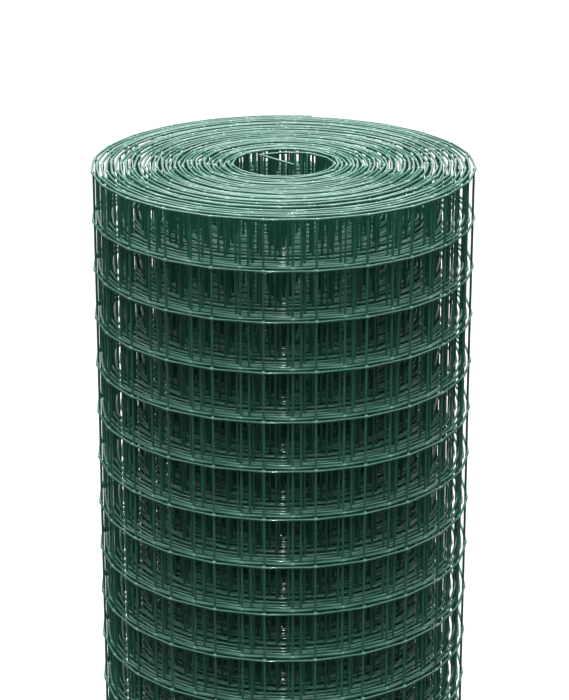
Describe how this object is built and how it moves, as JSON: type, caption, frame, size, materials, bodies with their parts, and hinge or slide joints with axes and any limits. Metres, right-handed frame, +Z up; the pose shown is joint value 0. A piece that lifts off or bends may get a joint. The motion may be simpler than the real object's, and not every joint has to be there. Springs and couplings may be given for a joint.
{
  "type": "roll of wire fencing",
  "caption": "Standing roll of green plastic-coated welded wire mesh fencing, wound in close turns round an open bore.",
  "frame": {"origin": "centre of the lower end, on the floor that the roll stands on", "axes": "+Z up along the axis of the bore, -Y towards the front of the roll"},
  "size_m": [0.3781, 0.3782, 1.0023],
  "materials": {
    "green_coat": "semi-gloss moss green plastic coat over steel wire"
  },
  "bodies": {
    "root": {"mesh_roll": "green_coat"}
  },
  "joints": []
}
